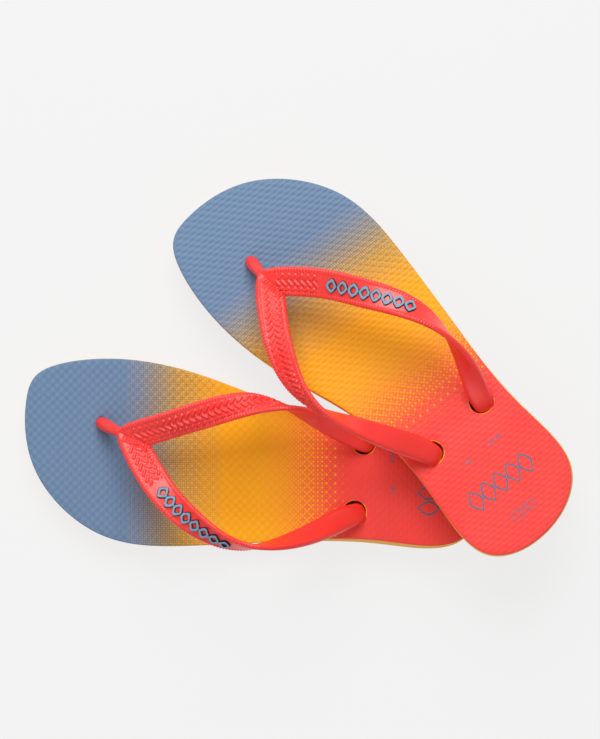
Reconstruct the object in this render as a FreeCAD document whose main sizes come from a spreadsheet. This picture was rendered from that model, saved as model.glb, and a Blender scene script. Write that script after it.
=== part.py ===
import FreeCAD, Part
import math
import os
import Sketcher

# A pair of rubber thong sandals, in millimetres. The left sandal stands flat on the ground with the origin
# under the middle of its sole: +X runs from toe to heel, +Y to its inner (medial) side, +Z up. The right
# sandal is its mirror image and lies across the left one's heel, resting on it and on the ground.

Vector = FreeCAD.Vector
Rotation = FreeCAD.Rotation
Placement = FreeCAD.Placement
UP = Vector(0, 0, 1)
ALONG = Vector(1, 0, 0)

doc = FreeCAD.newDocument("thong_sandals")
sheet = doc.addObject("Spreadsheet::Sheet", "sizes")

# ---------------------------------------------------------------- driving sizes

SOLE_SIZES = {
    "sole_length": (260, "toe to heel, over the ground outline's stations"),
    "toe_tip_reach": (17.2, "outline pole at the toe tip, towards the inner side"),
    "toe_medial_reach": (33, "outline pole beside the big toe"),
    "ball_medial_reach": (44.4, "outline pole at the ball, inner side"),
    "instep_medial_reach": (38.9, "outline pole at the instep, inner side"),
    "arch_medial_reach": (23, "outline pole in the arch, inner side"),
    "waist_medial_reach": (27.9, "outline pole before the heel, inner side"),
    "heel_medial_reach": (42.8, "outline pole at the heel, inner side"),
    "heel_lateral_reach": (42.9, "outline pole at the heel, outer side"),
    "waist_lateral_reach": (38.3, "outline pole before the heel, outer side"),
    "arch_lateral_reach": (46.2, "outline pole in the arch, outer side"),
    "instep_lateral_reach": (54.1, "outline pole at the instep, outer side"),
    "ball_lateral_reach": (61.3, "outline pole at the ball, outer side"),
    "toe_lateral_reach": (27, "outline pole beside the small toes"),
    "edge_overhang": (1.5, "how far the side wall leans out, over the rim height"),
    "outer_lean": (3.6, "how far it leans in on the outer side of the heel"),
    "toe_thickness": (14.5, "sole thickness at the toe"),
    "ball_thickness": (13.4, "sole thickness at the ball"),
    "heel_thickness": (20, "sole thickness at the heel"),
    "footbed_layer": (5, "thickness of the upper layer"),
}

STRAP_SIZES = {
    "post_from_toe": (42.6, "toe post hole, from the toe"),
    "post_across": (6, "toe post hole, towards the inner side"),
    "anchor_from_heel": (73.2, "both rear holes, from the heel"),
    "medial_anchor_across": (14.7, "inner rear hole, from the centre line"),
    "lateral_anchor_across": (24.5, "outer rear hole, from the centre line"),
    "post_diameter": (5.8, "toe post"),
    "anchor_hole": (13.6, "diameter of the rear holes"),
    "strap_gap": (0.3, "free space between the strap and the holes it passes"),
    "toe_plug": (17, "diameter of the plug under the toe"),
    "rear_plug": (19, "diameter of the plugs under the rear holes"),
    "plug_thickness": (3.4, "all three plugs"),
    "plug_recess": (0.8, "plug face above the tread"),
    "neck_width": (11.4, "leg across, inside the sole"),
    "neck_depth": (9, "leg front to back, inside the sole"),
    "neck_behind": (0.9, "leg's middle behind the middle of its hole"),
    "head_setback": (17.4, "middle of the strap's head behind the toe post hole"),
    "head_rise": (20, "middle of the strap's head above the footbed"),
    "head_pitch": (21, "slope of the head, rising to the heel, in degrees"),
    "leg_rise": (39.5, "highest control section of a leg above the footbed"),
    "front_width": (16, "leg width from the head to its highest point"),
    "tail_width": (14, "leg width before the sole"),
    "front_thickness": (3, "leg thickness at the front"),
    "tail_thickness": (5, "leg thickness before the sole"),
}

TREAD_SIZES = {
    "groove_width": (3, "tread groove"),
    "groove_depth": (1.2, "tread groove"),
    "groove_pitch": (10.5, "from groove to groove"),
    "forefoot_groove": (62, "length of a groove under the ball"),
    "heel_groove": (50, "length of a groove under the heel"),
    "forefoot_shift": (5, "middle of the forefoot grooves towards the outer side"),
}

PAIR_SIZES = {
    "pair_along": (0.317, "right sandal's toe from the left one's, along it, as a share of the length"),
    "pair_across": (0.506, "right sandal's toe from the left one's axis, as a share of the length"),
    "pair_turn": (35.8, "angle between the two sandals, in degrees"),
    "pair_roll": (4.4, "how far the right sandal's inner side is tipped up, in degrees"),
    "pair_gap": (0.35, "free space where the right sandal rests on the left one"),
}

# How each leg lies, from the head (0) to the hole (7). The bow is how far the leg's middle stands out from
# the straight line between its ends; the roll turns its width from lying flat and facing the other leg (0)
# over standing on edge (90) to lying flat with its inner face up (180). Both straps were dropped
# carelessly, so the left one leans outwards and the right one inwards.
LEG_LAY = {
    "left_medial": ((0, 7, 14.6, 21.6, 18.9, 8.9, 3.4, 0), (0, 32, 26, 42, 104, 156, 176, 180)),
    "left_lateral": ((0, 23.6, 33.9, 38.4, 31, 15.8, 4.5, 0), (0, 16, 34, 71, 106, 142, 170, 180)),
    "right_medial": ((0, 16.4, 27.7, 32.4, 23.9, 11.3, 3.2, 0), (0, 26, 38, 77, 133, 170, 180, 180)),
    "right_lateral": ((0, 12.2, 17, 22.5, 22.9, 13.1, 3.6, 0), (0, 26, 23, 27, 68, 128, 166, 180)),
}
HEAD_SHIFT = {"left": -5, "right": 2.5}

# Where the legs' stations lie: share of the way from head to hole, and share of the highest rise.
LEG_ALONG = (0, 0.158, 0.324, 0.498, 0.672, 0.846, 0.945, 1)
LEG_RISE = (0.506, 0.734, 0.924, 1, 0.873, 0.481, 0.165, -0.038)


def fill_sheet():
    """Write every driving size into the sheet, with its alias and a note."""
    row = 1
    for table in (SOLE_SIZES, STRAP_SIZES, TREAD_SIZES, PAIR_SIZES):
        for name, (value, note) in table.items():
            write_row(row, name, value, note)
            row += 1
    for side, shift in HEAD_SHIFT.items():
        write_row(row, side + "_head_shift", shift, "head towards the inner side, from the post hole")
        row += 1
    for leg, (bows, rolls) in LEG_LAY.items():
        for station in range(1, len(bows) - 1):
            write_row(row, f"{leg}_bow_{station}", bows[station], "leg's bow at a station")
            write_row(row + 1, f"{leg}_roll_{station}", rolls[station], "leg's roll there, in degrees")
            row += 2
    doc.recompute()


def write_row(row, name, value, note):
    sheet.set(f"A{row}", name)
    sheet.set(f"B{row}", str(value))
    sheet.setAlias(f"B{row}", name)
    sheet.set(f"C{row}", note)


def size(name):
    """A driving size as a plain number."""
    return float(sheet.get(name))


# ---------------------------------------------------------------- sketch helpers


def origin_plane(body, role):
    return [plane for plane in body.Origin.OriginFeatures if plane.Role == role][0]


def new_sketch(body, name, role, height=None):
    """A sketch on one of the body's own origin planes, lifted by an expression if asked."""
    sketch = body.newObject("Sketcher::SketchObject", name)
    sketch.AttachmentSupport = [(origin_plane(body, role), "")]
    sketch.MapMode = "FlatFace"
    if height:
        sketch.setExpression("AttachmentOffset.Base.z", height)
    return sketch


def bind_point(sketch, geometry, position, across, up):
    """Fix a point of the sketch by two expressions, measured from the sketch's origin."""
    for kind, expression in (("DistanceX", across), ("DistanceY", up)):
        value = float(sheet.evalExpression(expression))
        index = sketch.addConstraint(Sketcher.Constraint(kind, -1, 1, geometry, position, value))
        sketch.setExpression(f"Constraints[{index}]", expression)


def bound_spline(sketch, poles, closed):
    """A cubic B-spline whose poles are bound to expressions; returns its geometry index."""
    points = [Vector(*(float(sheet.evalExpression(text)) for text in pole), 0) for pole in poles]
    curve = Part.BSplineCurve(points, None, None, closed, 3, None, False)
    spline = sketch.addGeometry(curve, False)
    sketch.exposeInternalGeometry(spline)
    for number, pole in enumerate(poles):
        bind_point(sketch, spline + 1 + number, 3, *pole)
    return spline


def bound_polygon(sketch, corners):
    """A closed run of straight lines whose corners are bound to expressions."""
    points = [Vector(*(float(sheet.evalExpression(text)) for text in corner), 0) for corner in corners]
    lines = [sketch.addGeometry(Part.LineSegment(start, end), False)
             for start, end in zip(points, points[1:] + points[:1])]
    for number, line in enumerate(lines):
        sketch.addConstraint(Sketcher.Constraint("Coincident", lines[number - 1], 2, line, 1))
        bind_point(sketch, line, 1, *corners[number])


def bound_circle(sketch, across, up, diameter):
    circle = sketch.addGeometry(Part.Circle(Vector(0, 0, 0), UP, 5), False)
    index = sketch.addConstraint(Sketcher.Constraint("Diameter", circle, 10))
    sketch.setExpression(f"Constraints[{index}]", diameter)
    bind_point(sketch, circle, 3, across, up)
    return circle


def cut(body, name, sketch, depth=None):
    """Pocket the sketch upwards by a depth, or right through the body both ways."""
    pocket = body.newObject("PartDesign::Pocket", name)
    pocket.Profile = sketch
    if depth:
        pocket.Reversed = True
        pocket.setExpression("Length", depth)
    else:
        pocket.SideType = "Symmetric"
        pocket.Type = "ThroughAll"
    sketch.Visibility = False
    doc.recompute()
    return pocket


# ---------------------------------------------------------------- sole

# The ground outline's poles: share of the sole's length, reach, which side of the centre line, by how much
# the rim's pole stands off where the side wall leans, and which way.
OUTLINE = (
    (-0.005, "toe_tip_reach", 1, "edge_overhang", (-1, 0)),
    (0.0175, "toe_medial_reach", 1, "edge_overhang", (-0.7, 0.7)),
    (0.1923, "ball_medial_reach", 1, "edge_overhang", (0, 1)),
    (0.3846, "instep_medial_reach", 1, "edge_overhang", (0, 1)),
    (0.5769, "arch_medial_reach", 1, "edge_overhang", (0, 1)),
    (0.7692, "waist_medial_reach", 1, "edge_overhang", (0, 1)),
    (0.9592, "heel_medial_reach", 1, "edge_overhang", (0.7, 0.7)),
    (1.0219, None, 1, "edge_overhang", (0.4, 0)),
    (0.9612, "heel_lateral_reach", -1, "outer_lean", (-0.5, 0.7)),
    (0.7692, "waist_lateral_reach", -1, "outer_lean", (0, 1)),
    (0.5769, "arch_lateral_reach", -1, "outer_lean", (0, 0.5)),
    (0.3846, "instep_lateral_reach", -1, "edge_overhang", (0, -1)),
    (0.1923, "ball_lateral_reach", -1, "edge_overhang", (0, -1)),
    (0.0175, "toe_lateral_reach", -1, "edge_overhang", (-0.7, -0.7)),
)

RIM_HEIGHT = "(sizes.heel_thickness * 1.2)"

# Corners of the footbed's side line: share of the sole's length, and thickness there. It is straight
# under the toes, rises from the ball through the arch, and is level under the heel.
TOP_LINE = ((-0.04, "toe_thickness"), (0.4, "ball_thickness"), (0.74, "heel_thickness"),
            (1.04, "heel_thickness"))


def outline_poles(mirror, leaning):
    """Poles of the ground outline, or of the rim where the wall leans, as expressions."""
    poles = []
    for share, reach, sign, lean, (way_x, way_y) in OUTLINE:
        amount = f"sizes.{lean}" if leaning else "0"
        reach_text = f"sizes.{reach}" if reach else "0"
        along = f"sizes.sole_length * {share - 0.5:.4f} + {way_x} * {amount}"
        across = f"{mirror} * ({sign} * {reach_text} + {way_y} * {amount})"
        poles.append((along, across))
    return poles


def sole_block(body, mirror):
    """The whole sole as a plain block: a loft from the ground outline to the leaning rim."""
    ground = new_sketch(body, "ground_outline", "XY_Plane")
    bound_spline(ground, outline_poles(mirror, False), True)
    rim = new_sketch(body, "rim_outline", "XY_Plane", RIM_HEIGHT)
    bound_spline(rim, outline_poles(mirror, True), True)
    doc.recompute()
    loft = body.newObject("PartDesign::AdditiveLoft", "sole_block")
    loft.Profile = ground
    loft.Sections = [rim]
    doc.recompute()
    for sketch in (ground, rim):
        sketch.Visibility = False


def profile_cut(body, name, drop, limit):
    """Cut away what lies between the footbed's side line, dropped by a size, and a level line."""
    sketch = new_sketch(body, name + "_line", "XZ_Plane")
    corners = [(f"sizes.sole_length * {share - 0.5:.4f}", f"sizes.{thickness} - {drop}")
               for share, thickness in TOP_LINE]
    corners += [(corners[-1][0], limit), (corners[0][0], limit)]
    bound_polygon(sketch, corners)
    doc.recompute()
    return cut(body, name, sketch)


def top_height(x):
    """Height of the footbed above the ground at a place along the sole."""
    places = [(size("sole_length") * (share - 0.5), size(thickness)) for share, thickness in TOP_LINE]
    for (start, low), (end, high) in zip(places, places[1:]):
        if x <= end:
            break
    return low + (high - low) * (x - start) / (end - start)


def toe_x():
    return -size("sole_length") / 2


def holes(mirror):
    """The three strap holes: name, place along and across, hole and plug diameters, as expressions."""
    post = ("-sizes.sole_length / 2 + sizes.post_from_toe", f"{mirror} * sizes.post_across")
    rear = "sizes.sole_length / 2 - sizes.anchor_from_heel"
    medial = (rear, f"{mirror} * sizes.medial_anchor_across")
    lateral = (rear, f"{-mirror} * sizes.lateral_anchor_across")
    return {
        "post": (post, "sizes.post_diameter + 2 * sizes.strap_gap", "sizes.toe_plug"),
        "medial": (medial, "sizes.anchor_hole", "sizes.rear_plug"),
        "lateral": (lateral, "sizes.anchor_hole", "sizes.rear_plug"),
    }


def cut_holes(body, mirror):
    sketch = new_sketch(body, "strap_holes", "XY_Plane")
    for place, hole, _ in holes(mirror).values():
        bound_circle(sketch, *place, hole)
    doc.recompute()
    cut(body, "strap_hole_cut", sketch)


def make_footbed(side, mirror):
    body = doc.addObject("PartDesign::Body", side + "_footbed")
    sole_block(body, mirror)
    profile_cut(body, "top_cut", "0", RIM_HEIGHT + " * 1.5")
    profile_cut(body, "layer_cut", "sizes.footbed_layer", "-" + RIM_HEIGHT)
    cut_holes(body, mirror)
    return body


def groove_row(body, name, mirror, start, middle, length, count):
    """A row of grooves across the tread, cut from below."""
    sketch = new_sketch(body, name + "_outline", "XY_Plane")
    fore, aft = f"{start} - sizes.groove_width / 2", f"{start} + sizes.groove_width / 2"
    low, high = f"{mirror} * ({middle}) - {length} / 2", f"{mirror} * ({middle}) + {length} / 2"
    bound_polygon(sketch, [(fore, low), (aft, low), (aft, high), (fore, high)])
    doc.recompute()
    pocket = cut(body, name, sketch, "sizes.groove_depth")
    pattern = body.newObject("PartDesign::LinearPattern", name + "_row")
    pattern.Originals = [pocket]
    pattern.Direction = (origin_plane(body, "X_Axis"), [""])
    pattern.Mode = "Spacing"
    pattern.setExpression("Offset", "sizes.groove_pitch")
    pattern.Occurrences = count
    body.Tip = pattern
    doc.recompute()


def make_outsole(side, mirror):
    body = doc.addObject("PartDesign::Body", side + "_outsole")
    sole_block(body, mirror)
    profile_cut(body, "layer_cut", "sizes.footbed_layer", RIM_HEIGHT + " * 1.5")
    cut_holes(body, mirror)
    seats = new_sketch(body, "plug_seats", "XY_Plane")
    for place, _, plug in holes(mirror).values():
        bound_circle(seats, *place, f"{plug} + 2 * sizes.strap_gap")
    doc.recompute()
    cut(body, "plug_seat_cut", seats, "sizes.plug_thickness + sizes.plug_recess")
    groove_row(body, "forefoot_grooves", mirror, "-sizes.sole_length * 0.27", "-sizes.forefoot_shift",
               "sizes.forefoot_groove", 6)
    groove_row(body, "heel_grooves", mirror, "sizes.sole_length * 0.28", "0", "sizes.heel_groove", 4)
    return body


# ---------------------------------------------------------------- strap


def section_corners(centre, width_way, thick_way, width, thickness, flat):
    """Eight corners round a leg's section: two faces with a faint crown, and two tapered edges."""
    corners = ((-1, 0), (-flat, 0.95), (0, 1.1), (flat, 0.95),
               (1, 0), (flat, -0.95), (0, -1.05), (-flat, -0.95))
    return [centre + width_way * (across * width / 2) + thick_way * (out * thickness / 2)
            for across, out in corners]


def skin_solid(sections):
    """A closed solid over the control sections: one smooth strip for each side of the section."""
    inner_knots = len(sections) - 4
    along_mults = [4] + [1] * inner_knots + [4]
    along_knots = list(range(inner_knots + 2))
    sides = len(sections[0])
    faces = []
    for side in range(sides):
        poles = [[section[side], section[(side + 1) % sides]] for section in sections]
        strip = Part.BSplineSurface()
        strip.buildFromPolesMultsKnots(poles, along_mults, [2, 2], along_knots, [0, 1],
                                       False, False, 3, 1)
        faces.append(strip.toShape())
    for section in (sections[0], sections[-1]):
        faces.append(Part.Face(Part.makePolygon(section + section[:1])))
    shell = Part.makeShell(faces)
    shell.sewShape()
    solid = Part.makeSolid(shell)
    if solid.Volume < 0:
        solid.reverse()
    return solid


def leg_points(side, mirror, leg, anchor):
    """The leg's middle line: its stations from the head to the hole, then down through the sole."""
    outward = mirror if leg == "medial" else -mirror
    head = head_point(side, mirror)
    mouth_x = anchor.x + size("neck_behind")
    points = []
    for station, share in enumerate(LEG_ALONG):
        bow = 0
        if 0 < station < len(LEG_ALONG) - 1:
            bow = size(f"{side}_{leg}_bow_{station}")
        x = head.x + (mouth_x - head.x) * share
        y = head.y + (anchor.y - head.y) * share + outward * bow
        rise = size("leg_rise") * LEG_RISE[station]
        if station == 0:
            rise = size("head_rise")
        points.append(Vector(x, y, top_height(x) + rise))
    return points


def head_point(side, mirror):
    x = toe_x() + size("post_from_toe") + size("head_setback")
    y = mirror * (size("post_across") + size(side + "_head_shift"))
    return Vector(x, y, top_height(x) + size("head_rise"))


def level_direction(start, end):
    way = Vector(end.x - start.x, end.y - start.y, 0)
    return way.normalize()


def head_frame(side, mirror):
    """The head's middle, the level way along its crease, and the normal of its sloping face."""
    head = head_point(side, mirror)
    ways = []
    for leg, anchor in anchors(mirror).items():
        points = leg_points(side, mirror, leg, anchor)
        ways.append(level_direction(points[0], points[1]))
    crease = (ways[0] + ways[1]).normalize()
    pitch = math.radians(size("head_pitch"))
    normal = UP * math.cos(pitch) - crease * math.sin(pitch)
    return head, crease, normal


def anchors(mirror):
    """Middle of each rear hole, at ground level."""
    x = size("sole_length") / 2 - size("anchor_from_heel")
    return {
        "medial": Vector(x, mirror * size("medial_anchor_across"), 0),
        "lateral": Vector(x, -mirror * size("lateral_anchor_across"), 0),
    }


# The head's round front before a leg's first station: distance and width there as shares of the front
# width, and share of the front thickness.
HEAD_FRONT = ((0.53, 0.3, 1.1), (0.34, 0.72, 1.35))
LEG_WIDTH = (1, 1, 1, 0.99, 0.5, 0)     # how much of the front width is left at stations 0 to 5
FLAT_SHARE = (0.6, 0.8, 0.87, 0.87, 0.87, 0.87, 0.84, 0.76, 0.66, 0.6, 0.6, 0.6)
PLUG_DEPTH_IN = 0.5                     # how deep a leg or post reaches into its plug, as a share


def leg_solid(side, mirror, leg):
    """One leg of the strap, from the head's round front to the plug under the sole."""
    anchor = anchors(mirror)[leg]
    outward = mirror if leg == "medial" else -mirror
    head, crease, normal = head_frame(side, mirror)
    stations = leg_points(side, mirror, leg, anchor)
    start_way = (stations[0] - stations[1]).normalize()
    front = [stations[0] + start_way * size("front_width") * distance for distance, _, _ in HEAD_FRONT]
    neck_x = stations[-1].x
    sole_top = top_height(neck_x)
    plug_middle = size("plug_recess") + size("plug_thickness") * PLUG_DEPTH_IN
    neck = [Vector(neck_x, anchor.y, sole_top * 0.55), Vector(neck_x, anchor.y, plug_middle)]
    points = front + stations + neck

    front_width, tail_width = size("front_width"), size("tail_width")
    front_thick, tail_thick = size("front_thickness"), size("tail_thickness")
    widths = [front_width * share for _, share, _ in HEAD_FRONT]
    widths += [tail_width + (front_width - tail_width) * share for share in LEG_WIDTH]
    widths += [tail_width * 0.97, size("neck_width") * 1.04, size("neck_width"), size("neck_width")]
    thicks = [front_thick * share for _, _, share in HEAD_FRONT]
    thicks += [front_thick] * 4 + [front_thick * 1.1, tail_thick]
    thicks += [tail_thick * 1.15, size("neck_depth") * 0.8, size("neck_depth"), size("neck_depth")]

    last = len(stations) - 1
    rolls = [size(f"{side}_{leg}_roll_{station}") for station in range(1, last)]
    sections = []
    for number, point in enumerate(points):
        station = number - len(front)
        before, after = points[max(number - 1, 0)], points[min(number + 1, len(points) - 1)]
        tangent = (after - before).normalize()
        if station < last:
            level_way = Vector(tangent.x, tangent.y, 0).normalize()
        side_way = level_way.cross(UP)
        rise_way = side_way.cross(tangent).normalize()
        inward = side_way * outward
        if station < 1:
            roll = math.atan2(-inward.dot(normal), rise_way.dot(normal))
        elif station < last:
            roll = math.radians(rolls[station - 1])
        else:
            roll = math.pi
        width_way = inward * math.cos(roll) + rise_way * math.sin(roll)
        thick_way = rise_way * math.cos(roll) - inward * math.sin(roll)
        flat = FLAT_SHARE[number]
        sections.append(section_corners(point, width_way, thick_way, widths[number], thicks[number], flat))
    solid = skin_solid(sections)

    # Each leg stops at the crease, where it meets the other one.
    other_side = crease.cross(UP) * outward
    reach = size("front_width") * 2.5
    block = Part.makeBox(2 * reach, 2 * reach, 2 * reach)
    block.Placement = facing(head, other_side.cross(UP), other_side, (reach, 0, reach))
    return solid.cut(block)


def facing(point, x_way, y_way, back):
    """A placement whose axes lie along the given ways, set back from the point along each axis."""
    z_way = x_way.cross(y_way)
    base = point - x_way * back[0] - y_way * back[1] - z_way * back[2]
    return Placement(base, Rotation(x_way, y_way, z_way, "ZXY"))


def post_solid(side, mirror):
    """The toe post: straight up through the sole, then leaning back into the head."""
    head, crease, normal = head_frame(side, mirror)
    foot_x, foot_y = toe_x() + size("post_from_toe"), mirror * size("post_across")
    foot = Vector(foot_x, foot_y, size("plug_recess") + size("plug_thickness") * PLUG_DEPTH_IN)
    low = Vector(foot_x, foot_y, top_height(foot_x) + size("post_diameter") * 0.3)
    end = head - crease * (size("front_width") * 0.26)
    high = low + (end - low) * 0.3 + UP * (size("post_diameter") * 0.3)
    end = end + (end - high).normalize() * size("post_diameter")
    path = Part.makePolygon([foot, low, high, end])
    circle = Part.Wire([Part.Circle(foot, UP, size("post_diameter") / 2).toShape()])
    post = path.makePipeShell([circle], True, False, 1)
    # What would stand out above the middle of the head's thickness is cut off.
    level_way = normal.cross(crease).normalize()
    reach = size("front_width") * 2.5
    above = Part.makeBox(2 * reach, 2 * reach, 2 * reach)
    above.Placement = facing(head, level_way.cross(normal), level_way, (reach, reach, 0))
    return post.cut(above)


def make_strap(side, mirror):
    """One moulding: two legs that meet at the head, the toe post, and three plugs under the sole."""
    legs = [leg_solid(side, mirror, leg) for leg in ("medial", "lateral")]
    bands = doc.addObject("Part::Feature", side + "_bands_and_post")
    bands.Shape = legs[0].fuse(legs[1]).fuse(post_solid(side, mirror))
    pieces = [bands]
    for name, (place, _, diameter) in holes(mirror).items():
        plug = doc.addObject("Part::Cylinder", f"{side}_{name}_plug")
        plug.setExpression("Radius", diameter + " / 2")
        plug.setExpression("Height", "sizes.plug_thickness")
        plug.setExpression("Placement.Base.x", place[0])
        plug.setExpression("Placement.Base.y", place[1])
        plug.setExpression("Placement.Base.z", "sizes.plug_recess")
        pieces.append(plug)
    strap = doc.addObject("Part::MultiFuse", side + "_strap")
    strap.Shapes = pieces
    doc.recompute()
    return strap


# ---------------------------------------------------------------- how the right sandal lies


def outline_points(mirror, leaning, placement, count):
    """Points along a sandal's ground outline, or along its rim, in the pair's frame."""
    poles = [Vector(*(float(sheet.evalExpression(text)) for text in pole), 0)
             for pole in outline_poles(mirror, leaning)]
    curve = Part.BSplineCurve(poles, None, None, True, 3, None, False)
    return [placement.multVec(point) for point in curve.discretize(Number=count + 1)[:-1]]


def is_inside(point, polygon):
    """Whether a point lies inside a polygon, seen from above."""
    inside = False
    for start, end in zip(polygon, polygon[1:] + polygon[:1]):
        if (start.y > point.y) != (end.y > point.y):
            crossing = start.x + (end.x - start.x) * (point.y - start.y) / (end.y - start.y)
            if point.x < crossing:
                inside = not inside
    return inside


def tipped(pitch):
    """The right sandal turned and rolled, with its heel lifted by an angle, lowered onto the ground."""
    left_toe = Vector(toe_x(), 0, 0)
    way = Vector(size("pair_along"), size("pair_across"), 0) * size("sole_length")
    rotation = (Rotation(UP, -size("pair_turn")) * Rotation(Vector(0, 1, 0), -pitch)
                * Rotation(Vector(1, 0, 0), -size("pair_roll")))
    placement = Placement(left_toe + way - rotation.multVec(left_toe), rotation)
    placement.Base.z -= min(point.z for point in outline_points(-1, False, placement, 144))
    return placement


def lies_clear(placement):
    """Whether the tipped sandal's underside keeps its gap above the left footbed."""
    here = outline_points(-1, False, placement, 144)
    left_rim = outline_points(1, True, Placement(), 144)
    gap = size("pair_gap")
    for point in here:
        if is_inside(point, left_rim) and point.z < top_height(point.x) + gap:
            return False
    base, upright = placement.Base, placement.Rotation.multVec(UP)
    for point in left_rim:
        if is_inside(point, here):
            slope = upright.x * (point.x - base.x) + upright.y * (point.y - base.y)
            if base.z - slope / upright.z < top_height(point.x) + gap:
                return False
    return True


def resting_placement():
    """Where the right sandal comes to rest: its heel is let down until it meets the left one."""
    low, high = 0, 30
    for _ in range(16):
        pitch = (low + high) / 2
        if lies_clear(tipped(pitch)):
            high = pitch
        else:
            low = pitch
    return tipped(high)


def main():
    fill_sheet()
    parts = []
    for side, mirror in (("left", 1), ("right", -1)):
        parts += [make_footbed(side, mirror), make_outsole(side, mirror), make_strap(side, mirror)]
    doc.recompute()
    placement = resting_placement()
    for part in parts[3:]:
        part.Placement = placement
    doc.recompute()

    for thing in doc.Objects:
        if {"Invalid", "Error"} & set(thing.State):
            raise RuntimeError(f"{thing.Label} failed: {thing.State}")
    for part in parts:
        if part.Shape.isNull() or not part.Shape.isValid() or len(part.Shape.Solids) != 1:
            raise RuntimeError(f"{part.Label} is not one valid solid")
    os.makedirs("parts", exist_ok=True)
    for part in parts:
        part.Shape.exportStep(f"parts/{part.Label}.step")
        box = part.Shape.BoundBox
        print(f"{part.Label}: {part.Shape.Volume / 1000:.1f} cm3, x {box.XMin:.1f} to {box.XMax:.1f}, "
              f"y {box.YMin:.1f} to {box.YMax:.1f}, z {box.ZMin:.2f} to {box.ZMax:.1f}")


main()
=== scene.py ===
import math

import bmesh
import bpy
import numpy as np
from mathutils import Matrix, Vector
from mathutils.geometry import delaunay_2d_cdt


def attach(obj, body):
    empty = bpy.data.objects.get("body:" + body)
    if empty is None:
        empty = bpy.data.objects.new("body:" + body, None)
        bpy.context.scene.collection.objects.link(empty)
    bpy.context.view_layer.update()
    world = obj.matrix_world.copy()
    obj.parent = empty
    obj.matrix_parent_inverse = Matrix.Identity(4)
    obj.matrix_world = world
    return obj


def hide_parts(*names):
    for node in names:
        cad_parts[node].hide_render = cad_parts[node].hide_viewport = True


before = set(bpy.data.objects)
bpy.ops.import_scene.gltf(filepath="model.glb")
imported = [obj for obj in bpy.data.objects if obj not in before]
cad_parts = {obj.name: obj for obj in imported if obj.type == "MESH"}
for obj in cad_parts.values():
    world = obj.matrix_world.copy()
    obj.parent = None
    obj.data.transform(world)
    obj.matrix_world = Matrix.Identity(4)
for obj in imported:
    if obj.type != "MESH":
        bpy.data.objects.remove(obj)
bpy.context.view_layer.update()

# A pair of rubber thong sandals, each built in millimetres in its own frame: +X runs from toe to heel, +Y to
# the left one's inner (medial) side, +Z up. The right one is mirrored and lies across the left one's heel.

MM = 0.001
UP = np.array([0.0, 0.0, 1.0])
MIRROR = {"left": 1, "right": -1}
PLACE = {
    "left": Matrix.Identity(4),
    "right": Matrix((
        (0.805009, 0.590822, -0.053747, 57.071218),
        (-0.580591, 0.8032, 0.133354, 56.083161),
        (0.121959, -0.076146, 0.98961, 16.422998),
        (0, 0, 0, 1),
    )),
}

# ---------------------------------------------------------------- sizes in millimetres, as in the source

SOLE_LENGTH = 260
TOE_X = -SOLE_LENGTH / 2
RIM_HEIGHT = 24
OVERHANG, LEAN = 1.5, 3.6
FOOTBED_LAYER = 5

# Outline poles: share of the sole's length, reach to the inner side, and how far the rim stands off there.
OUTLINE = (
    (-0.005, 17.2, -OVERHANG, 0), (0.0175, 33, -0.7 * OVERHANG, 0.7 * OVERHANG), (0.1923, 44.4, 0, OVERHANG),
    (0.3846, 38.9, 0, OVERHANG), (0.5769, 23, 0, OVERHANG), (0.7692, 27.9, 0, OVERHANG),
    (0.9592, 42.8, 0.7 * OVERHANG, 0.7 * OVERHANG), (1.0219, 0, 0.4 * OVERHANG, 0),
    (0.9612, -42.9, -0.5 * LEAN, 0.7 * LEAN), (0.7692, -38.3, 0, LEAN), (0.5769, -46.2, 0, 0.5 * LEAN),
    (0.3846, -54.1, 0, -OVERHANG), (0.1923, -61.3, 0, -OVERHANG),
    (0.0175, -27, -0.7 * OVERHANG, -0.7 * OVERHANG),
)

# Height of the sole's top at shares of its length. The solid has straight runs between them; here the bends
# are blended over this reach.
TOP_LINE = ((-0.04, 14.5), (0.4, 13.4), (0.74, 20), (1.04, 20))
TOP_BLEND = 14

POST_FROM_TOE, POST_ACROSS, POST_DIAMETER = 42.6, 6, 5.8
ANCHOR_FROM_HEEL = 73.2
ANCHOR_ACROSS = {"medial": 14.7, "lateral": -24.5}
ANCHOR_HOLE, STRAP_GAP = 13.6, 0.3
TOE_PLUG, REAR_PLUG, PLUG_THICKNESS, PLUG_RECESS = 17, 19, 3.4, 0.8
PLUG_MIDDLE = PLUG_RECESS + PLUG_THICKNESS / 2
HEAD_SETBACK, HEAD_RISE, HEAD_PITCH = 17.4, 20, 21
HEAD_SHIFT = {"left": -5, "right": 2.5}
FRONT_WIDTH = 16

# A leg's stations from the head to the mouth of its hole: share of the way, and share of its highest rise.
LEG_PEAK = 39.5
LEG_ALONG = (0, 0.158, 0.324, 0.498, 0.672, 0.846, 0.945, 1)
LEG_RISE = (0.506, 0.734, 0.924, 1, 0.873, 0.481, 0.165, -0.038)

# How each leg lies: at every station, how far it bows away from the other leg; and at those between its ends,
# the roll of its width in degrees, from flat (0) over standing on edge (90) to flat with its inner face up.
# The first rolls turn further inwards than the source's, so that a valley runs along the crease.
LEG_LAY = {
    "left_medial": ((0, 7, 14.6, 21.6, 18.9, 8.9, 3.4, 0), (-30, -8, 32, 104, 156, 176)),
    "left_lateral": ((0, 23.6, 33.9, 38.4, 31, 15.8, 4.5, 0), (-14, 26, 71, 106, 142, 170)),
    "right_medial": ((0, 16.4, 27.7, 32.4, 23.9, 11.3, 3.2, 0), (-14, 28, 77, 133, 170, 180)),
    "right_lateral": ((0, 12.2, 17, 22.5, 22.9, 13.1, 3.6, 0), (-28, -10, 20, 68, 128, 166)),
}

# ---------------------------------------------------------------- finer shapes that only the scene has

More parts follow.
